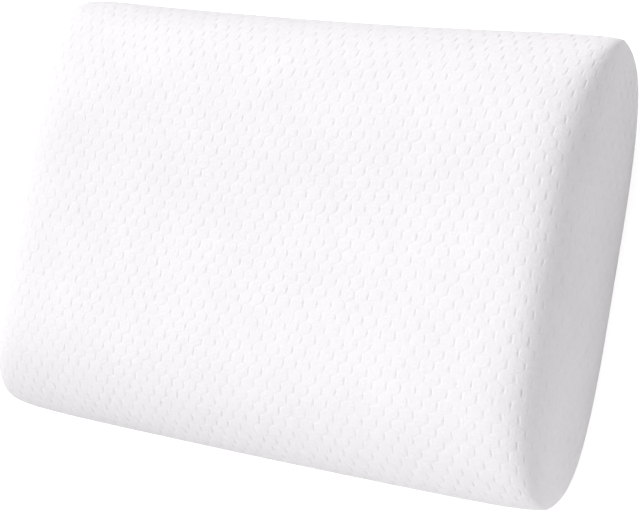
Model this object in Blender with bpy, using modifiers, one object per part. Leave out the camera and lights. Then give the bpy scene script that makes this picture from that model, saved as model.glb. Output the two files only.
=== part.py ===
"""Cervical pillow, one filled form lying on its back.

X runs along the length, Y across the width from the neck side to the head side, and Z up from the flat
back to the sleeping face. The widest line, the rim, runs round the form at about half its height. From the
rim an upper skin rises to the face, with a lobe along each long side and a shallow valley between them, and
a lower skin drops to the flat back. The ends draw together at the four corners, as a cover does over its core.
"""

from collections import namedtuple

import bmesh
import bpy
import numpy as np

NAME = "pillow"

# Overall size, in metres
LENGTH = 0.600
WIDTH = 0.400
HEIGHT = 0.131
RIM_HEIGHT = 0.064

# The skins are cut into squares that are narrower near the rim, then smoothed once
CAGE_ALONG = 30
CAGE_ACROSS = 22
RIM_CROWDING = 2.0
SMOOTHING = 1

# The plan: how much its corners are cut back and how close to them the cut stays, how far each end draws
# in between its corners, how much further the right end leans in up at the face, and how far the lines
# along the pillow's middle draw in, all shares
CORNER_CUT = 0.022
CORNER_REACH = 12.0
END_DRAW_IN = 0.010
END_LEAN = 0.020
INNER_DRAW_IN = 0.012

# The upright ends, as the face and the back fall to them. A high squareness keeps a skin long, and a high
# bluntness makes it fall steeply. The corners are crisper than the middle of the end
End = namedtuple("End", "square_middle blunt_middle square_corner blunt_corner")
FACE_END = End(20.0, 3.5, 45.0, 4.0)
BACK_END = End(26.0, 4.2, 55.0, 4.2)
END_CORNER_REACH = 6.0

# The long sides. Squareness and bluntness shape the fall from the face to the rim, in the middle of the
# length and at the ends, where the corners pinch it. draw_in is a share of the half width. The lobe's
# rise is a share of the face's, and its place and spread are shares of the half width.
Side = namedtuple(
    "Side",
    "square_middle blunt_middle square_end blunt_end draw_in lobe_rise lobe_place lobe_spread",
)
HEAD_SIDE = Side(5.0, 1.8, 3.2, 1.6, 0.032, 0.035, 0.60, 0.30)
NECK_SIDE = Side(6.0, 2.1, 5.1, 1.7, -0.010, 0.070, 0.62, 0.30)
PINCH_REACH = 2.3

# The face between the lobes: the valley's depth and spread, and the crown along the length, all shares
VALLEY_DEPTH = 0.035
VALLEY_SPREAD = 0.40
FACE_CROWN = 0.036

# The back: its fall at the long sides, and how far past flat it would bulge if nothing pressed it flat.
# The patch that it rests on has a sharp outline, in shares of the half length and half width, and the back
# round it lies a share of RIM_HEIGHT higher. A point this near the lowest level, in metres, is on the patch
BACK_SQUARE_MIDDLE = 7.0
BACK_SQUARE_END = 3.2
BACK_BLUNTNESS = 1.6
BACK_PRESSED = 1.10
REST_ALONG = 0.75
REST_ACROSS = 0.55
REST_RISE = 0.016
TOUCHING = 1e-6

COVER_COLOUR = (0.90, 0.90, 0.915, 1.0)
COVER_ROUGHNESS = 0.9


def clear_scene():
    for old in list(bpy.data.objects):
        bpy.data.objects.remove(old, do_unlink=True)


def crowded(place):
    """Even places from -1 to 1, moved outwards so that they crowd towards both ends."""
    return np.sign(place) * (1 - (1 - np.abs(place)) ** RIM_CROWDING)


def fall(place, squareness, bluntness):
    """A flat top that falls to nothing at place 1: (1 - place^squareness)^(1 / bluntness)."""
    return np.maximum(1 - np.abs(place) ** squareness, 0.0) ** (1 / bluntness)


def hump(across, centre, spread):
    """A smooth bell of height 1 across the width."""
    return np.exp(-(((across - centre) / spread) ** 2))


def blend(middle, end, share):
    return middle + (end - middle) * share


def end_fall(along, across, end):
    """A skin's fall at an upright end, which grows crisper by across^END_CORNER_REACH."""
    corner = np.abs(across) ** END_CORNER_REACH
    squareness = blend(end.square_middle, end.square_corner, corner)
    return fall(along, squareness, blend(end.blunt_middle, end.blunt_corner, corner))


def plan(along, across, rise=0.0):
    """Where a point of the unit square lies seen from above: a rectangle whose corners are cut back by
    CORNER_CUT * |along * across|^CORNER_REACH, with sides that draw in between them. Its right end
    leans in by END_LEAN at a rise of 1, which is the face's level."""
    corner = 1 - CORNER_CUT * np.abs(along * across) ** CORNER_REACH
    rim_draw_in = np.where(across > 0, HEAD_SIDE.draw_in, NECK_SIDE.draw_in)
    side_draw_in = blend(INNER_DRAW_IN, rim_draw_in, across**2)
    lean = END_LEAN * rise * (along > 0)
    x = along * corner * (1 - (END_DRAW_IN + lean) * (1 - across**2))
    y = across * corner * (1 - side_draw_in * (1 - along**2))
    return LENGTH / 2 * x, WIDTH / 2 * y


def upper_skin(along, across):
    """The face's height above the rim, as a share: the fall at the ends times the fall at the sides,
    times the lobes, the valley and the crown."""
    pinch = np.abs(along) ** PINCH_REACH
    sides = []
    for side in (HEAD_SIDE, NECK_SIDE):
        squareness = blend(side.square_middle, side.square_end, pinch)
        bluntness = blend(side.blunt_middle, side.blunt_end, pinch)
        sides.append(fall(across, squareness, bluntness))
    side_fall = np.where(across > 0, sides[0], sides[1])
    lobes = HEAD_SIDE.lobe_rise * hump(across, HEAD_SIDE.lobe_place, HEAD_SIDE.lobe_spread)
    lobes += NECK_SIDE.lobe_rise * hump(across, -NECK_SIDE.lobe_place, NECK_SIDE.lobe_spread)
    valley = VALLEY_DEPTH * hump(across, 0.0, VALLEY_SPREAD)
    middle_share = 1 - along**4
    relief = (lobes - valley) * middle_share + FACE_CROWN * (1 - along**2)
    return end_fall(along, across, FACE_END) * side_fall * (1 + relief)


def lower_skin(along, across):
    """The back's depth below the rim, as a share: full on the patch that it rests on, and pressed a little
    less flat round it."""
    squareness = blend(BACK_SQUARE_MIDDLE, BACK_SQUARE_END, np.abs(along) ** PINCH_REACH)
    bulge = BACK_PRESSED * end_fall(along, across, BACK_END) * fall(across, squareness, BACK_BLUNTNESS)
    resting = (np.abs(along) < REST_ALONG) & (np.abs(across) < REST_ACROSS)
    return np.minimum(bulge, np.where(resting, 1.0, 1 - REST_RISE))


def face_point(along, across):
    highest = (HEIGHT - RIM_HEIGHT) / (1 + max(HEAD_SIDE.lobe_rise, NECK_SIDE.lobe_rise))
    x, y = plan(along, across, end_fall(along, across, FACE_END))
    return x, y, RIM_HEIGHT + highest * upper_skin(along, across)


def back_point(along, across):
    return *plan(along, across), RIM_HEIGHT * (1 - lower_skin(along, across))


def add_skin(cage, skin_point):
    """A grid over the unit square, its points moved to where skin_point puts them."""
    grid = bmesh.ops.create_grid(cage, x_segments=CAGE_ALONG, y_segments=CAGE_ACROSS, size=1.0)
    for point in grid["verts"]:
        point.co = skin_point(crowded(point.co.x), crowded(point.co.y))
    return grid["verts"]


def sharpen_rest(cage):
    """Keeps the outline of the resting patch sharp when the cage is smoothed."""
    edge_crease = cage.edges.layers.float.new("crease_edge")
    corner_crease = cage.verts.layers.float.new("crease_vert")
    resting = {point for point in cage.verts if point.co.z < TOUCHING}
    patch = {face for face in cage.faces if resting.issuperset(face.verts)}
    for edge in cage.edges:
        if sum(face in patch for face in edge.link_faces) == 1:
            edge[edge_crease] = 1.0
    for point in resting:
        if sum(face in patch for face in point.link_faces) == 1:
            point[corner_crease] = 1.0


def make_cage():
    """Both skins in one mesh, welded along the rim."""
    cage = bmesh.new()
    add_skin(cage, face_point)
    lower = add_skin(cage, back_point)
    bmesh.ops.reverse_faces(cage, faces=list({face for point in lower for face in point.link_faces}))
    bmesh.ops.remove_doubles(cage, verts=cage.verts, dist=1e-5)
    sharpen_rest(cage)
    mesh = bpy.data.meshes.new(NAME)
    cage.to_mesh(mesh)
    cage.free()
    return mesh


def smoothed_box(pillow):
    """The lowest and highest corners of the form as its modifier leaves it."""
    shown = pillow.evaluated_get(bpy.context.evaluated_depsgraph_get())
    points = np.array([point.co for point in shown.to_mesh().vertices])
    shown.to_mesh_clear()
    return points.min(axis=0), points.max(axis=0)


def fit_to_size(pillow):
    """Stretches the cage so that the smoothed form measures its full size and rests centred on Z = 0."""
    low, high = smoothed_box(pillow)
    scale = np.array((LENGTH, WIDTH, HEIGHT)) / (high - low)
    foot = np.array(((low[0] + high[0]) / 2, (low[1] + high[1]) / 2, low[2]))
    for point in pillow.data.vertices:
        point.co = (np.array(point.co) - foot) * scale


def cover_material():
    material = bpy.data.materials.new("cover")
    material.use_nodes = True
    surface = material.node_tree.nodes["Principled BSDF"]
    surface.inputs["Base Color"].default_value = COVER_COLOUR
    surface.inputs["Roughness"].default_value = COVER_ROUGHNESS
    surface.inputs["Metallic"].default_value = 0.0
    return material


def make_pillow(collection):
    mesh = make_cage()
    mesh.shade_smooth()
    pillow = bpy.data.objects.new(NAME, mesh)
    collection.objects.link(pillow)
    smooth = pillow.modifiers.new("Subdivision", "SUBSURF")
    smooth.levels = SMOOTHING
    smooth.render_levels = SMOOTHING
    fit_to_size(pillow)
    mesh.materials.append(cover_material())
    return pillow


def main():
    clear_scene()
    collection = bpy.data.collections.new("Cervical pillow")
    bpy.context.scene.collection.children.link(collection)
    make_pillow(collection)


main()
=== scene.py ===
"""Cervical pillow in a hexagon-knit cover, lying on its back on a pale studio floor.

X runs along the pillow's length, Y across its width from the neck side to the head side, and Z up out of the
sleeping face. The cover is one closed surface. It is laid out on a lattice of knitted hexagons that runs
over the rim from the face to the back, and each hexagon is a low dome with a groove round it. The stage is a
floor, a sky, soft lights and the camera.
"""

import math
from collections import namedtuple

import bpy
import numpy as np
from bpy.props import FloatProperty, FloatVectorProperty, PointerProperty
from bpy.types import Operator, Panel, PropertyGroup
from mathutils import Matrix, Vector


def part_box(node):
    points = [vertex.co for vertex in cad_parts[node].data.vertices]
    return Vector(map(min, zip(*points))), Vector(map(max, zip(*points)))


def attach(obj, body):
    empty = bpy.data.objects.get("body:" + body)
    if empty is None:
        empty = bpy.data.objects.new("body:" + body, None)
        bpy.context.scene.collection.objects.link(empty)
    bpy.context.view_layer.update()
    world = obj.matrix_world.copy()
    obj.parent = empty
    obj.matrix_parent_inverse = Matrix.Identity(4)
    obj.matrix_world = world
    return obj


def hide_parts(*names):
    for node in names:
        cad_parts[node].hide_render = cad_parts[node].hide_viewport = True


bl_info = {
    "name": "Cervical pillow",
    "version": (1, 0, 0),
    "blender": (4, 5, 0),
    "location": "3D View > Sidebar > Pillow",
    "description": "Builds a knitted cover round a cervical pillow's form, and a studio stage for it",
    "category": "Object",
}

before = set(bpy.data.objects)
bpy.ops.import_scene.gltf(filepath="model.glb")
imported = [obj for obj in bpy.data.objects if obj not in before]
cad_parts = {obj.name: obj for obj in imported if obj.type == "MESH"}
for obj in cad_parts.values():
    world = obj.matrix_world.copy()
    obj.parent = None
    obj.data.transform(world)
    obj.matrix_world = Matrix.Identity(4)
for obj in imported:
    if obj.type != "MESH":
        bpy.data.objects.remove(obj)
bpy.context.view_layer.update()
FORM_LOW, FORM_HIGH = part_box("pillow")
FORM_SIZE = FORM_HIGH - FORM_LOW

# The form, as shares of its half length, half width and height. The rim is its widest line
RIM_SHARE = 0.064 / 0.131
CORNER_CUT = 0.022
CORNER_REACH = 12.0
END_DRAW_IN = 0.010
END_LEAN = 0.020
INNER_DRAW_IN = 0.012
END_CORNER_REACH = 6.0
PINCH_REACH = 2.3
VALLEY_DEPTH = 0.035
VALLEY_SPREAD = 0.40
FACE_CROWN = 0.036
BACK_SQUARE_MIDDLE = 7.0
BACK_SQUARE_END = 3.2
BACK_BLUNTNESS = 1.6
BACK_PRESSED = 1.10
REST_ALONG = 0.75
REST_ACROSS = 0.55
REST_RISE = 0.016
REST_EASE = 0.10

# How the face and the back fall to the upright ends, in the middle of an end and at its corners
End = namedtuple("End", "square_middle blunt_middle square_corner blunt_corner")
FACE_END = End(20.0, 3.5, 45.0, 4.0)
BACK_END = End(26.0, 4.2, 55.0, 4.2)

Side = namedtuple(
    "Side",
    "square_middle blunt_middle square_end blunt_end draw_in lobe_rise lobe_place lobe_spread",
)
HEAD_SIDE = Side(5.0, 1.8, 3.2, 1.6, 0.032, 0.035, 0.60, 0.30)
NECK_SIDE = Side(6.0, 2.1, 5.1, 1.7, -0.010, 0.070, 0.62, 0.30)

# The knit's lattice. Columns of hexagons stand across the width and rows run along the length. Places on it
# are counted in hexagons from the middle, and the rim lies where the pattern mirrors into itself
HALF_COLUMNS = 24.5
HALF_ROWS = 22
COLUMN_LEAN = 0.032
ROW_WAVE = 0.73
ROW_WAVE_LENGTH = 0.62 / 0.6 * 2
ROW_WAVE_START = 0.09 / 0.6 * 2
TABLE_STEPS = 4001
TABLE_CROWDING = 4.0
RIM_MATCHING = 8

# A hexagon's outline, counter-clockwise: its corners and the middles of its sides, from the corner at the
# lower right, in quarters of a column and sixths of a row
PER_COLUMN = 4
PER_ROW = 6
OUTLINE = np.array(
    [(2, -2), (2, 0), (2, 2), (1, 3), (0, 4), (-1, 3), (-2, 2), (-2, 0), (-2, -2), (-1, -3), (0, -4), (1, -3)]
)
SHOULDER_SHARE = 0.90
CROWN_SHARE = 0.72

# How deep the groove is, as shares of its full depth: upright sides are knitted tightest
UPRIGHT_GROOVE = 1.0
SLANTED_GROOVE = 0.0
CORNER_GROOVE = 0.25
GROOVE_SLACKEST = 0.85
GROOVE_TIGHTEST = 1.25
SHOULDER_DROP = 0.0
DOME_UNEVEN = 0.5

# The cover is stretched tighter over the upright ends, so its relief is lower there by this share
END_STRETCH = 0.40

# The knit isn't quite even: its lines drift in long waves, whose heights and lengths are in hexagons
DRIFT_WAVES = 6
DRIFT_HEIGHT = 0.02
DRIFT_SHORTEST = 2.5
DRIFT_LONGEST = 7.0

# Where the cover gathers into a corner's tip, its hexagons fade out, and points that meet become one. In metres
TIP_PLAIN = 0.008
TIP_FADE = 0.030
WELD_DISTANCE = 1e-7
SEED = 7

# The knit's noise: its name, its scale in waves to the metre, and its detail
KNIT_NOISE = (("Mottle", 22.0, 4.0), ("Pucker", 330.0, 3.0), ("Fuzz", 2600.0, 2.0))
PUCKER_HEIGHT = 14.0

# The camera stands where the photographer did, in metres and degrees
IMAGE_WIDTH = 640
SENSOR_WIDTH = 36.0
View = namedtuple("View", "side_angle rise_angle roll distance focal_pixels aim pan tilt")
PHOTO_VIEW = View(36.013, -2.145, 9.560, 2.0105, 2243.1, (0.0, -0.0018, 0.0650), 0.7109, -0.4960)

# The lamps stand far off round the face, the head side and the left end. A softbox stands near the corner where
# the right end meets the neck side, and is aimed at it. Turn is measured from +X towards +Y, and rise from the
# floor, in degrees. A white sheet at its aim that faces a lamp takes on the lamp's share of full white
Lamp = namedtuple("Lamp", "name turn rise share")
LAMPS = (
    Lamp("left_lamp", 165.0, 35.0, 0.10),
    Lamp("head_lamp", 90.0, 30.0, 0.25),
    Lamp("face_lamp", 180.0, 60.0, 0.70),
)
Softbox = namedtuple("Softbox", "name turn rise share reach side")
CORNER_SOFTBOX = Softbox("corner_softbox", -52.0, 15.0, 0.30, 1.5, 1.0)


class PillowCover(PropertyGroup):
    """Sizes and colours of the cover."""

    length: FloatProperty(
        name="Length", description="Overall length of the pillow", default=FORM_SIZE.x, unit="LENGTH"
    )
    width: FloatProperty(
        name="Width", description="Overall width of the pillow", default=FORM_SIZE.y, unit="LENGTH"
    )
    height: FloatProperty(
        name="Height", description="Height of the neck lobe", default=FORM_SIZE.z, unit="LENGTH"
    )
    groove_depth: FloatProperty(
        name="Groove depth", description="Depth of the knit's grooves", default=0.00065, unit="LENGTH"
    )
    dome_height: FloatProperty(
        name="Dome height", description="Rise of a hexagon's middle", default=0.00018, unit="LENGTH"
    )
    colour: FloatVectorProperty(
        name="Yarn colour",
        description="Colour of the knit's raised hexagons",
        default=(0.90, 0.877, 0.90),
        subtype="COLOR",
    )
    # The grooves' colour is painted shade in the recesses, and partly the thinner yarn there
    groove_shade_colour: FloatVectorProperty(
        name="Groove painted shade",
        description="Yarn colour in the grooves, darkened as painted shade",
        default=(0.82, 0.797, 0.82),
        subtype="COLOR",
    )
    wale: FloatProperty(
        name="Wale", description="Width of one column of stitches", default=0.0013, unit="LENGTH"
    )


class PillowStage(PropertyGroup):
    """Sizes, colours and lights of the stage."""

    floor_size: FloatProperty(
        name="Floor size", description="Side of the floor", default=14.0, unit="LENGTH"
    )
    floor_colour: FloatVectorProperty(
        name="Floor colour", description="Colour of the floor", default=(0.75, 0.75, 0.75), subtype="COLOR"
    )
    floor_glow: FloatProperty(name="Floor glow", description="Light that the floor gives", default=0.13)
    floor_look: FloatProperty(
        name="Floor look", description="How much brighter the floor looks than it lights", default=0.54
    )
    sky_strength: FloatProperty(name="Sky strength", description="Even light all round", default=0.24)
    brightness: FloatProperty(name="Brightness", description="All the lamps together", default=1.05)
    softness: FloatProperty(
        name="Softness", description="How wide each lamp is", default=math.radians(40), subtype="ANGLE"
    )


def crowded(place):
    """Even places from -1 to 1, moved outwards so that they crowd towards both ends."""
    return np.sign(place) * (1 - (1 - np.abs(place)) ** TABLE_CROWDING)


def fall(place, squareness, bluntness):
    """A flat top that falls to nothing at place 1: (1 - place^squareness)^(1 / bluntness)."""
    return np.maximum(1 - np.abs(place) ** squareness, 0.0) ** (1 / bluntness)


def hump(across, centre, spread):
    """A smooth bell of height 1 across the width: e^-((across - centre) / spread)^2."""
    return np.exp(-(((across - centre) / spread) ** 2))


def blend(start, end, share):
    return start + (end - start) * share


def eased(share):
    """Smooth step from 0 to 1: 3 share^2 - 2 share^3, held outside."""
    held = np.clip(share, 0.0, 1.0)
    return held * held * (3 - 2 * held)


def end_fall(along, across, end):
    """A skin's fall at an upright end, which grows crisper by across^END_CORNER_REACH."""
    corner = np.abs(across) ** END_CORNER_REACH
    squareness = blend(end.square_middle, end.square_corner, corner)
    return fall(along, squareness, blend(end.blunt_middle, end.blunt_corner, corner))


def plan(along, across, rise):
    """A point of the unit square seen from above, in half lengths and half widths. The square's corners are
    cut back by CORNER_CUT * |along * across|^CORNER_REACH, and its sides draw in between them. Its right
    end leans in by END_LEAN at a rise of 1, which is the face's level."""
    corner = 1 - CORNER_CUT * np.abs(along * across) ** CORNER_REACH
    rim_draw_in = np.where(across > 0, HEAD_SIDE.draw_in, NECK_SIDE.draw_in)
    side_draw_in = blend(INNER_DRAW_IN, rim_draw_in, across**2)
    lean = END_LEAN * rise * (along > 0)
    x = along * corner * (1 - (END_DRAW_IN + lean) * (1 - across**2))
    y = across * corner * (1 - side_draw_in * (1 - along**2))
    return x, y


def face_rise(along, across):
    """The face's height above the rim, as a share: the fall at the ends times the fall at the sides, times
    the lobes, the valley and the crown."""
    pinch = np.abs(along) ** PINCH_REACH
    sides = [
        fall(
            across,
            blend(side.square_middle, side.square_end, pinch),
            blend(side.blunt_middle, side.blunt_end, pinch),
        )
        for side in (HEAD_SIDE, NECK_SIDE)
    ]
    side_fall = np.where(across > 0, sides[0], sides[1])
    lobes = HEAD_SIDE.lobe_rise * hump(across, HEAD_SIDE.lobe_place, HEAD_SIDE.lobe_spread)
    lobes += NECK_SIDE.lobe_rise * hump(across, -NECK_SIDE.lobe_place, NECK_SIDE.lobe_spread)
    valley = VALLEY_DEPTH * hump(across, 0.0, VALLEY_SPREAD)
    relief = (lobes - valley) * (1 - along**4) + FACE_CROWN * (1 - along**2)
    return end_fall(along, across, FACE_END) * side_fall * (1 + relief)


def back_drop(along, across):
    """The back's depth below the rim, as a share. It is full on the patch that the pillow rests on, and
    eases to REST_RISE less round it."""
    squareness = blend(BACK_SQUARE_MIDDLE, BACK_SQUARE_END, np.abs(along) ** PINCH_REACH)
    bulge = BACK_PRESSED * end_fall(along, across, BACK_END) * fall(across, squareness, BACK_BLUNTNESS)
    past_patch = np.maximum(np.abs(along) - REST_ALONG, np.abs(across) - REST_ACROSS)
    return np.minimum(bulge, 1 - REST_RISE * eased(past_patch / REST_EASE))


def form(along, across, face, size):
    """Points of the bare form, in metres: the plan, with the face's rise above the rim where face is true,
    and the back's drop below it elsewhere."""
    x, y = plan(along, across, np.where(face, end_fall(along, across, FACE_END), 0.0))
    tallest = 1 + max(HEAD_SIDE.lobe_rise, NECK_SIDE.lobe_rise)
    upper = RIM_SHARE + (1 - RIM_SHARE) / tallest * face_rise(along, across)
    lower = RIM_SHARE * (1 - back_drop(along, across))
    return np.stack((x * size[0] / 2, y * size[1] / 2, np.where(face, upper, lower) * size[2]), axis=-1)


def middle_line(crosswise, face, size):
    """Places along a skin's middle line, which runs along the pillow or crosswise, and how far each is from
    its start by arc length, in metres."""
    place = crowded(np.linspace(-1.0, 1.0, TABLE_STEPS))
    middle = np.zeros_like(place)
    points = form(middle, place, face, size) if crosswise else form(place, middle, face, size)
    return place, np.concatenate(([0.0], np.cumsum(np.linalg.norm(np.diff(points, axis=0), axis=1))))


def line_table(crosswise, face, size):
    """How many hexagons lie between the middle and each place on a middle line, spread evenly along it."""
    place, arc = middle_line(crosswise, face, size)
    half = HALF_ROWS if crosswise else HALF_COLUMNS
    return half * (2 * arc / arc[-1] - 1), place


def on_form(column, row, face, size):
    """Points of the bare form under places of the lattice. The columns lean and the rows wave, less towards
    the rim. Each skin spreads its hexagons by its own middle lines. Near the rim the back's places are
    blended into the face's, so that the pattern runs over the rim unbroken."""
    leaning = column + COLUMN_LEAN * row * (1 - (column / HALF_COLUMNS) ** 2)
    turn = 2 * math.pi * (column / HALF_COLUMNS - ROW_WAVE_START) / ROW_WAVE_LENGTH
    waving = row + ROW_WAVE * np.sin(turn) * (1 - (row / HALF_ROWS) ** 4)
    end_rim = np.where(face, 1.0, np.abs(column / HALF_COLUMNS) ** RIM_MATCHING)
    side_rim = np.where(face, 1.0, np.abs(row / HALF_ROWS) ** RIM_MATCHING)
    lines = {
        (crosswise, skin): line_table(crosswise, skin, size)
        for crosswise in (False, True)
        for skin in (False, True)
    }
    along = blend(
        np.interp(leaning, *lines[False, False]), np.interp(leaning, *lines[False, True]), side_rim
    )
    across = blend(
        np.interp(waving, *lines[True, False]), np.interp(waving, *lines[True, True]), end_rim
    )
    return form(along, across, face, size)


def over_the_rim(column, row, face):
    """Folds places that pass the rim onto the other skin, where the lattice mirrors. A place on the rim
    itself belongs to the face."""
    past_end = np.abs(column) > HALF_COLUMNS * PER_COLUMN
    past_side = np.abs(row) > HALF_ROWS * PER_ROW
    folded_column = np.sign(column) * (2 * HALF_COLUMNS * PER_COLUMN - np.abs(column))
    folded_row = np.sign(row) * (2 * HALF_ROWS * PER_ROW - np.abs(row))
    column = np.where(past_end, folded_column, column)
    row = np.where(past_side, folded_row, row)
    on_rim = (np.abs(column) == HALF_COLUMNS * PER_COLUMN) | (np.abs(row) == HALF_ROWS * PER_ROW)
    return column, row, (face ^ past_end ^ past_side) | on_rim


def hexagon_middles():
    """The middle of every hexagon, in lattice steps, and the skin it is counted on. Every second row is set
    half a column along. Those that straddle the rim are counted on the face."""
    columns = np.arange(-25, 26)
    middles = []
    for face in (True, False):
        last_row = HALF_ROWS if face else HALF_ROWS - 1
        column, row = np.meshgrid(columns, np.arange(-last_row, last_row + 1))
        place = column + 0.5 * (row % 2)
        kept = np.abs(place) <= HALF_COLUMNS if face else np.abs(place) < HALF_COLUMNS
        steps = np.stack((place[kept] * PER_COLUMN, row[kept] * PER_ROW), axis=-1)
        middles.append(np.column_stack((steps, np.full(len(steps), face))))
    return np.concatenate(middles)


def ring(middles, share):
    """The outline's points round every hexagon, drawn in to a share of its size, folded over the rim."""
    column = middles[:, None, 0] + OUTLINE[None, :, 0] * share
    row = middles[:, None, 1] + OUTLINE[None, :, 1] * share
    face = np.repeat(middles[:, 2:3] > 0, len(OUTLINE), axis=1)
    return over_the_rim(column, row, face)


def cover_points(settings):
    """Every point of the cover, as arrays: its place on the lattice, its skin, and its relief as shares of
    the groove's depth and the dome's height. Also the faces, as triangles that point outwards.

    Neighbouring hexagons share their outlines. Inside its outline a hexagon has a shoulder ring and a middle
    point, and on the face a crown ring at its corners between them."""
    chance = np.random.default_rng(SEED)
    middles = hexagon_middles()
    count = len(middles)
    outline = np.stack(ring(middles, 1.0), axis=-1).reshape(-1, 3)
    shared, index = np.unique(np.rint(outline).astype(int), axis=0, return_inverse=True)
    outer = index.reshape(count, len(OUTLINE))

    shoulder = np.stack(ring(middles, SHOULDER_SHARE), axis=-1).reshape(-1, 3)
    crown = np.stack(ring(middles, CROWN_SHARE), axis=-1)[:, ::2].reshape(-1, 3)
    places = np.concatenate((shared, shoulder, crown, middles))
    first_shoulder = len(shared)
    first_crown = first_shoulder + len(shoulder)
    first_middle = first_crown + len(crown)
    inner = first_shoulder + np.arange(count * 12).reshape(count, 12)
    top = first_crown + np.arange(count * 6).reshape(count, 6)
    middle = np.repeat(first_middle + np.arange(count)[:, None], 6, axis=1)

    groove = np.zeros(len(places))
    corner_shares = (CORNER_GROOVE, UPRIGHT_GROOVE, CORNER_GROOVE, SLANTED_GROOVE, CORNER_GROOVE, SLANTED_GROOVE)
    groove[outer] = np.array(corner_shares * 2)
    groove[: len(shared)] *= chance.uniform(GROOVE_SLACKEST, GROOVE_TIGHTEST, len(shared))
    groove[first_shoulder:first_crown] = SHOULDER_DROP
    dome = np.zeros(len(places))
    plumpness = 1 + DOME_UNEVEN * chance.uniform(-1, 1, count)
    dome[first_shoulder:first_crown] = np.repeat(0.5 * plumpness, 12)
    dome[first_crown:first_middle] = np.repeat(0.85 * plumpness, 6)
    dome[first_middle:] = plumpness

    after = np.roll(np.arange(12), -1)
    corner = np.arange(0, 12, 2)
    side = corner + 1
    next_corner = np.roll(corner, -1)
    next_top = np.roll(np.arange(6), -1)
    rim_band = ((outer, outer[:, after], inner[:, after]), (outer, inner[:, after], inner))
    crown_band = (
        (inner[:, corner], inner[:, side], top),
        (inner[:, side], top[:, next_top], top),
        (inner[:, side], inner[:, next_corner], top[:, next_top]),
        (top, top[:, next_top], middle),
    )
    plain_top = ((inner[:, corner], inner[:, side], middle), (inner[:, side], inner[:, next_corner], middle))
    on_face = middles[:, 2] > 0
    faces = np.concatenate((fans(rim_band + crown_band, on_face), fans(rim_band + plain_top, ~on_face)[:, ::-1]))
    return used_only(places, groove, dome, faces)


def fans(bands, chosen):
    """The triangles of some bands, for the chosen hexagons."""
    return np.concatenate([np.stack(band, axis=-1)[chosen].reshape(-1, 3) for band in bands])


def used_only(places, groove, dome, faces):
    """The same cover without the points that no face uses."""
    used, index = np.unique(faces, return_inverse=True)
    return places[used], groove[used], dome[used], index.reshape(faces.shape)


def put_in_mesh(name, points, faces):
    """A mesh of triangles, smooth all over."""
    mesh = bpy.data.meshes.new(name)
    mesh.vertices.add(len(points))
    mesh.vertices.foreach_set("co", points.astype(np.float32).ravel())
    mesh.loops.add(faces.size)
    mesh.loops.foreach_set("vertex_index", faces.astype(np.int32).ravel())
    mesh.polygons.add(len(faces))
    mesh.polygons.foreach_set("loop_start", np.arange(0, faces.size, 3, dtype=np.int32))
    mesh.update(calc_edges=True)
    mesh.shade_smooth()
    return mesh


def welded(points, faces):
    """The first of each few points that meet, as they do at a corner's tip, and the triangles between the
    points that are kept."""
    places, kept, index = np.unique(
        np.rint(points / WELD_DISTANCE).astype(int), axis=0, return_index=True, return_inverse=True
    )
    faces = index.reshape(-1)[faces]
    whole = (faces != np.roll(faces, 1, axis=1)).all(axis=1)
    return kept, faces[whole]


def fitted(points, size):
    """Points stretched so that their box is the form's, resting on the floor."""
    low, high = points.min(axis=0), points.max(axis=0)
    foot = np.array(((low[0] + high[0]) / 2, (low[1] + high[1]) / 2, low[2]))
    return (points - foot) * (np.array(size) / (high - low))


def relief_room(points):
    """How much of the relief shows, from 0 where the cover is gathered into a tip, to 1."""
    tips = np.abs(points[:, :2]) - np.abs(points[:, :2]).max(axis=0)
    from_tip = np.sqrt((tips**2).sum(axis=1) + (points[:, 2] - RIM_SHARE * points[:, 2].max()) ** 2)
    return eased((from_tip - TIP_PLAIN) / TIP_FADE)


def drift(column, row, chance):
    """How far the knit's lines drift at each place, in hexagons: a sum of sines, each with its own direction,
    phase and wavelength. It dies out towards the rim, where both skins meet."""
    heading = chance.uniform(0, 2 * math.pi, DRIFT_WAVES)
    per_hexagon = 1 / chance.uniform(DRIFT_SHORTEST, DRIFT_LONGEST, DRIFT_WAVES)
    start = chance.uniform(0, 1, DRIFT_WAVES)
    turns = np.outer(column, np.cos(heading) * per_hexagon) + np.outer(row, np.sin(heading) * per_hexagon)
    inside = (1 - (column / HALF_COLUMNS) ** 8) * (1 - (row / HALF_ROWS) ** 8)
    return DRIFT_HEIGHT * np.sin(2 * math.pi * (turns + start)).sum(axis=1) * inside


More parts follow.
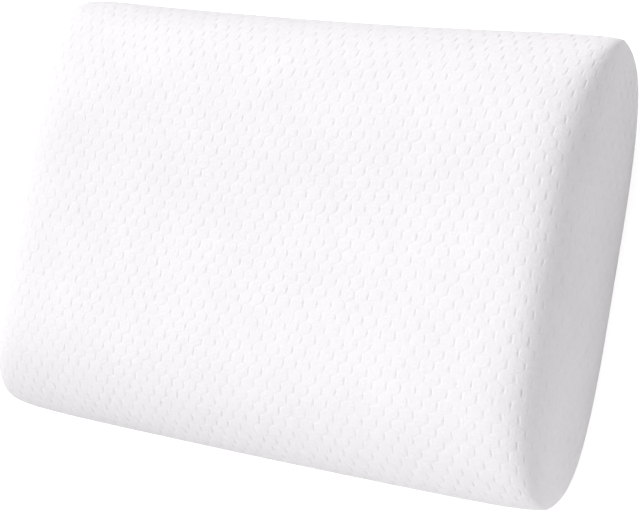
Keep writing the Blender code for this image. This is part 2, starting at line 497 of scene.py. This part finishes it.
def knitted_cover(settings):
    """The cover's mesh: the bare form's points, pushed out along their normals by the domes and in by the
    grooves. Its attribute fabric holds each point's place on the cloth in metres, and how raised it is."""
    size = (settings.length, settings.width, settings.height)
    places, groove, dome, faces = cover_points(settings)
    chance = np.random.default_rng(SEED + 1)
    column = places[:, 0] / PER_COLUMN
    row = places[:, 1] / PER_ROW
    face = places[:, 2] > 0
    drifted = (column + drift(column, row, chance), row + drift(column, row, chance))
    points = fitted(on_form(*drifted, face, size), size)
    kept, faces = welded(points, faces)
    points, groove, dome, column, row = (values[kept] for values in (points, groove, dome, column, row))

    mesh = put_in_mesh("pillow_cover", points, faces)
    normals = np.empty(len(points) * 3, np.float32)
    mesh.vertex_normals.foreach_get("vector", normals)
    normals = normals.reshape(-1, 3)
    room = relief_room(points) * (1 - END_STRETCH * normals[:, 0] ** 2)
    lift = (dome * settings.dome_height - groove * settings.groove_depth) * room
    points = points + normals * lift[:, None]
    points[:, 2] = np.maximum(points[:, 2], 0.0)
    mesh.vertices.foreach_set("co", points.astype(np.float32).ravel())

    column_pitch = middle_line(False, True, size)[1][-1] / (2 * HALF_COLUMNS)
    row_pitch = middle_line(True, True, size)[1][-1] / (2 * HALF_ROWS)
    fabric = mesh.attributes.new("fabric", "FLOAT_VECTOR", "POINT")
    laid_out = np.stack((column * column_pitch, row * row_pitch, 1 - groove * room), axis=-1)
    fabric.data.foreach_set("vector", laid_out.astype(np.float32).ravel())
    mesh.update()
    return mesh


def node(tree, kind, place, **values):
    """A shader node at a place in its editor, with its settings."""
    made = tree.nodes.new(kind)
    made.location = (place[0] * 180, -place[1] * 160)
    for name, value in values.items():
        setattr(made, name, value)
    return made


def maths(tree, operation, place, first, second=0.0, third=0.0):
    """A Math node whose inputs are sockets or plain numbers, and its output."""
    made = node(tree, "ShaderNodeMath", place, operation=operation)
    for socket, value in zip(made.inputs, (first, second, third)):
        if isinstance(value, bpy.types.NodeSocket):
            tree.links.new(value, socket)
        else:
            socket.default_value = value
    return made.outputs[0]


def knit_group():
    """A shader group of jersey stitches. Each column of stitches, a wale, is a rounded rib, crossed by the
    slanted legs of its loops: height = rib + legs, with rib = 1 - (2 u)^2 and
    legs = cos(2 pi (q / course + u)), where u is the distance from the wale's middle in wales. Beside them
    it gives noise of three sizes: wide mottling, puckers a few stitches wide, and fuzz."""
    group = bpy.data.node_groups.new("Knit stitches", "ShaderNodeTree")
    group.interface.new_socket("Fabric", in_out="INPUT", socket_type="NodeSocketVector")
    wale = group.interface.new_socket("Wale", in_out="INPUT", socket_type="NodeSocketFloat")
    wale.default_value = 0.0013
    group.interface.new_socket("Height", in_out="OUTPUT", socket_type="NodeSocketFloat")
    group.interface.new_socket("Mottle", in_out="OUTPUT", socket_type="NodeSocketFloat")
    group.interface.new_socket("Pucker", in_out="OUTPUT", socket_type="NodeSocketFloat")
    group.interface.new_socket("Fuzz", in_out="OUTPUT", socket_type="NodeSocketFloat")
    entry = node(group, "NodeGroupInput", (-6, 0))
    leaving = node(group, "NodeGroupOutput", (5, 0))
    apart = node(group, "ShaderNodeSeparateXYZ", (-5, 0))
    group.links.new(entry.outputs["Fabric"], apart.inputs[0])

    wales = maths(group, "DIVIDE", (-4, 0), apart.outputs["X"], entry.outputs["Wale"])
    centred = maths(group, "SUBTRACT", (-2, 0), maths(group, "FRACT", (-3, 0), wales), 0.5)
    off_middle = maths(group, "ABSOLUTE", (-1, 0), centred)
    doubled = maths(group, "MULTIPLY", (0, 0), off_middle, 2.0)
    rib = maths(group, "SUBTRACT", (2, 0), 1.0, maths(group, "POWER", (1, 0), doubled, 2.0))
    courses = maths(group, "DIVIDE", (-4, 1), apart.outputs["Y"], entry.outputs["Wale"])
    slanted = maths(group, "MULTIPLY_ADD", (-3, 1), courses, 1.3, off_middle)
    legs = maths(group, "COSINE", (-1, 1), maths(group, "MULTIPLY", (-2, 1), slanted, 2 * math.pi))
    height = maths(group, "MULTIPLY_ADD", (3, 0), legs, 0.35, rib)
    group.links.new(height, leaving.inputs["Height"])

    where = node(group, "ShaderNodeTexCoord", (-5, 3))
    for row, (name, scale, detail) in enumerate(KNIT_NOISE):
        noise = node(group, "ShaderNodeTexNoise", (-3, 3 + row))
        noise.inputs["Scale"].default_value = scale
        noise.inputs["Detail"].default_value = detail
        group.links.new(where.outputs["Object"], noise.inputs["Vector"])
        group.links.new(noise.outputs["Fac"], leaving.inputs[name])
    return group


def cover_material(settings):
    """White jersey knit: paler on the hexagons and darker in the grooves, where painted shade darkens the colour
    along with the thinner yarn there, with stitches in its bump.
    """
    material = bpy.data.materials.new("white_knit")
    material.use_nodes = True
    tree = material.node_tree
    surface = tree.nodes["Principled BSDF"]
    surface.inputs["Sheen Weight"].default_value = 0.10
    surface.inputs["Sheen Roughness"].default_value = 0.5
    surface.inputs["Specular IOR Level"].default_value = 0.25
    cloth = node(tree, "ShaderNodeAttribute", (-6, 0), attribute_name="fabric")
    knit = node(tree, "ShaderNodeGroup", (-5, 0))
    knit.node_tree = knit_group()
    knit.inputs["Wale"].default_value = settings.wale
    tree.links.new(cloth.outputs["Vector"], knit.inputs["Fabric"])
    apart = node(tree, "ShaderNodeSeparateXYZ", (-5, 2))
    tree.links.new(cloth.outputs["Vector"], apart.inputs[0])

    # The grooves are painted darker by how raised each point is: painted shade in the recesses, partly also the
    # thinner yarn there
    raised = node(tree, "ShaderNodeMapRange", (-4, 2), interpolation_type="SMOOTHSTEP")
    tree.links.new(apart.outputs["Z"], raised.inputs["Value"])
    raised.inputs["From Min"].default_value = -0.1
    raised.inputs["From Max"].default_value = 0.9
    shade = node(tree, "ShaderNodeMix", (-2, 2), data_type="RGBA")
    shade.inputs["A"].default_value = (*settings.groove_shade_colour, 1.0)
    shade.inputs["B"].default_value = (*settings.colour, 1.0)
    tree.links.new(raised.outputs["Result"], shade.inputs["Factor"])
    uneven = node(tree, "ShaderNodeMapRange", (-4, 3))
    both = maths(tree, "ADD", (-5, 3), knit.outputs["Mottle"], knit.outputs["Pucker"])
    tree.links.new(maths(tree, "MULTIPLY", (-5, 4), both, 0.5), uneven.inputs["Value"])
    uneven.inputs["From Min"].default_value = 0.3
    uneven.inputs["From Max"].default_value = 0.7
    uneven.inputs["To Min"].default_value = 0.945
    uneven.inputs["To Max"].default_value = 1.0
    tinted = node(tree, "ShaderNodeMix", (-1, 2), data_type="RGBA", blend_type="MULTIPLY")
    tinted.inputs["Factor"].default_value = 1.0
    tree.links.new(shade.outputs["Result"], tinted.inputs["A"])
    tree.links.new(uneven.outputs["Result"], tinted.inputs["B"])
    tree.links.new(tinted.outputs["Result"], surface.inputs["Base Color"])

    dullness = node(tree, "ShaderNodeMapRange", (-4, 4))
    tree.links.new(knit.outputs["Fuzz"], dullness.inputs["Value"])
    dullness.inputs["To Min"].default_value = 0.80
    dullness.inputs["To Max"].default_value = 0.98
    tree.links.new(dullness.outputs["Result"], surface.inputs["Roughness"])

    fibres = maths(tree, "MULTIPLY_ADD", (-4, 5), knit.outputs["Fuzz"], 0.5, knit.outputs["Height"])
    fibres = maths(tree, "MULTIPLY_ADD", (-3, 5), knit.outputs["Pucker"], PUCKER_HEIGHT, fibres)
    bump = node(tree, "ShaderNodeBump", (-2, 5))
    bump.inputs["Strength"].default_value = 0.35
    bump.inputs["Distance"].default_value = 0.00012
    tree.links.new(fibres, bump.inputs["Height"])
    tree.links.new(bump.outputs["Normal"], surface.inputs["Normal"])
    return material


def linked(name, data, collection_name):
    """A new object at the origin, in its collection."""
    made = bpy.data.objects.new(name, data)
    collection = bpy.data.collections.get(collection_name)
    if collection is None:
        collection = bpy.data.collections.new(collection_name)
        bpy.context.scene.collection.children.link(collection)
    collection.objects.link(made)
    return made


class OBJECT_OT_pillow_cover(Operator):
    """Build the knitted cover round the pillow's form"""

    bl_idname = "object.pillow_cover_add"
    bl_label = "Knitted cover"
    bl_options = {"REGISTER", "UNDO"}

    def execute(self, context):
        settings = context.scene.pillow_cover
        cover = linked("pillow_cover", knitted_cover(settings), "Cervical pillow")
        cover.data.materials.append(cover_material(settings))
        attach(cover, "root")
        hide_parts("pillow")
        return {"FINISHED"}


def add_floor(settings):
    """A square floor, wide enough to reach past every view."""
    half = settings.floor_size / 2
    corners = [(-half, -half, -0.0003), (half, -half, -0.0003), (half, half, -0.0003), (-half, half, -0.0003)]
    mesh = bpy.data.meshes.new("studio_floor")
    mesh.from_pydata(corners, [], [(0, 1, 2, 3)])
    material = bpy.data.materials.new("studio_paper")
    material.use_nodes = True
    surface = material.node_tree.nodes["Principled BSDF"]
    surface.inputs["Base Color"].default_value = (*settings.floor_colour, 1.0)
    surface.inputs["Roughness"].default_value = 0.95
    surface.inputs["Specular IOR Level"].default_value = 0.0
    surface.inputs["Emission Color"].default_value = (1.0, 1.0, 1.0, 1.0)
    ray = node(material.node_tree, "ShaderNodeLightPath", (-5, 2))
    glow = node(material.node_tree, "ShaderNodeMapRange", (-3, 2))
    glow.inputs["To Min"].default_value = settings.floor_glow
    glow.inputs["To Max"].default_value = settings.floor_glow + settings.floor_look
    material.node_tree.links.new(ray.outputs["Is Camera Ray"], glow.inputs["Value"])
    material.node_tree.links.new(glow.outputs["Result"], surface.inputs["Emission Strength"])
    mesh.materials.append(material)
    linked("studio_floor", mesh, "Studio")


def add_sky(settings):
    """An even sky, dimmer as a light than it looks, so that the background stays white."""
    world = bpy.data.worlds.new("studio_sky")
    world.use_nodes = True
    tree = world.node_tree
    dim = tree.nodes["Background"]
    dim.inputs["Color"].default_value = (1.0, 1.0, 1.0, 1.0)
    dim.inputs["Strength"].default_value = settings.sky_strength
    seen = node(tree, "ShaderNodeBackground", (0, 2))
    seen.inputs["Color"].default_value = (1.0, 1.0, 1.0, 1.0)
    ray = node(tree, "ShaderNodeLightPath", (0, -2))
    either = node(tree, "ShaderNodeMixShader", (2, 0))
    tree.links.new(ray.outputs["Is Camera Ray"], either.inputs["Fac"])
    tree.links.new(dim.outputs["Background"], either.inputs[1])
    tree.links.new(seen.outputs["Background"], either.inputs[2])
    tree.links.new(either.outputs["Shader"], tree.nodes["World Output"].inputs["Surface"])
    bpy.context.scene.world = world


def towards(lamp):
    """The direction from the pillow to a lamp."""
    rise, turn = math.radians(lamp.rise), math.radians(lamp.turn)
    return Vector((math.cos(turn) * math.cos(rise), math.sin(turn) * math.cos(rise), math.sin(rise)))


def add_lamp(lamp, settings):
    """A soft lamp as far off as a sun: energy = pi share."""
    light = bpy.data.lights.new(lamp.name, "SUN")
    light.energy = math.pi * lamp.share * settings.brightness
    light.angle = settings.softness
    stand = linked(lamp.name, light, "Studio")
    stand.rotation_euler = towards(lamp).to_track_quat("Z", "Y").to_euler()


def add_softbox(lamp, aim, settings):
    """A square lamp whose light fades with distance: energy = pi^2 reach^2 share."""
    light = bpy.data.lights.new(lamp.name, "AREA")
    light.size = lamp.side
    light.energy = (math.pi * lamp.reach) ** 2 * lamp.share * settings.brightness
    stand = linked(lamp.name, light, "Studio")
    stand.location = aim + lamp.reach * towards(lamp)
    stand.rotation_euler = towards(lamp).to_track_quat("Z", "Y").to_euler()
    stand.visible_camera = False


def turned(first, second, angle):
    """Two directions at right angles, turned by an angle in degrees from the first towards the second."""
    share, part = math.cos(math.radians(angle)), math.sin(math.radians(angle))
    return first * share + second * part, second * share - first * part


def add_camera(view):
    """A camera at a distance from the aim point, turned a little off it, and rolled."""
    side, rise = math.radians(view.side_angle), math.radians(view.rise_angle)
    away = Vector((math.sin(side) * math.cos(rise), math.sin(rise), math.cos(side) * math.cos(rise)))
    looking = -away
    right = looking.cross(Vector((0.0, 1.0, 0.0))).normalized()
    up = right.cross(looking)
    looking, right = turned(looking, right, view.pan)
    looking, up = turned(looking, up, view.tilt)
    right, up = turned(right, up, view.roll)
    camera = bpy.data.cameras.new("photo_camera")
    camera.sensor_width = SENSOR_WIDTH
    camera.lens = view.focal_pixels * SENSOR_WIDTH / IMAGE_WIDTH
    stand = linked("photo_camera", camera, "Studio")
    axes = Matrix((right, up, -looking)).transposed().to_4x4()
    stand.matrix_world = Matrix.Translation(away * view.distance + Vector(view.aim)) @ axes
    bpy.context.scene.camera = stand


class SCENE_OT_pillow_stage(Operator):
    """Build the floor, the sky, the lights and the camera"""

    bl_idname = "scene.pillow_stage_add"
    bl_label = "Studio stage"
    bl_options = {"REGISTER", "UNDO"}

    def execute(self, context):
        settings = context.scene.pillow_stage
        add_floor(settings)
        add_sky(settings)
        for lamp in LAMPS:
            add_lamp(lamp, settings)
        corner = Vector((FORM_HIGH.x, FORM_LOW.y, RIM_SHARE * FORM_HIGH.z))
        add_softbox(CORNER_SOFTBOX, corner, settings)
        add_camera(PHOTO_VIEW)
        context.scene.view_settings.view_transform = "Standard"
        return {"FINISHED"}


class VIEW3D_PT_pillow(Panel):
    """Lists the pieces that can be built"""

    bl_label = "Cervical pillow"
    bl_idname = "VIEW3D_PT_pillow"
    bl_space_type = "VIEW_3D"
    bl_region_type = "UI"
    bl_category = "Pillow"

    def draw(self, context):
        layout = self.layout
        for settings, operator in (
            (context.scene.pillow_cover, OBJECT_OT_pillow_cover),
            (context.scene.pillow_stage, SCENE_OT_pillow_stage),
        ):
            box = layout.box()
            for name in settings.__annotations__:
                box.prop(settings, name)
            box.operator(operator.bl_idname)


CLASSES = (PillowCover, PillowStage, OBJECT_OT_pillow_cover, SCENE_OT_pillow_stage, VIEW3D_PT_pillow)


def register():
    for kind in CLASSES:
        bpy.utils.register_class(kind)
    bpy.types.Scene.pillow_cover = PointerProperty(type=PillowCover)
    bpy.types.Scene.pillow_stage = PointerProperty(type=PillowStage)


def unregister():
    del bpy.types.Scene.pillow_stage
    del bpy.types.Scene.pillow_cover
    for kind in reversed(CLASSES):
        bpy.utils.unregister_class(kind)


def main():
    register()
    bpy.ops.object.pillow_cover_add()
    bpy.ops.scene.pillow_stage_add()


if __name__ == "__main__":
    main()
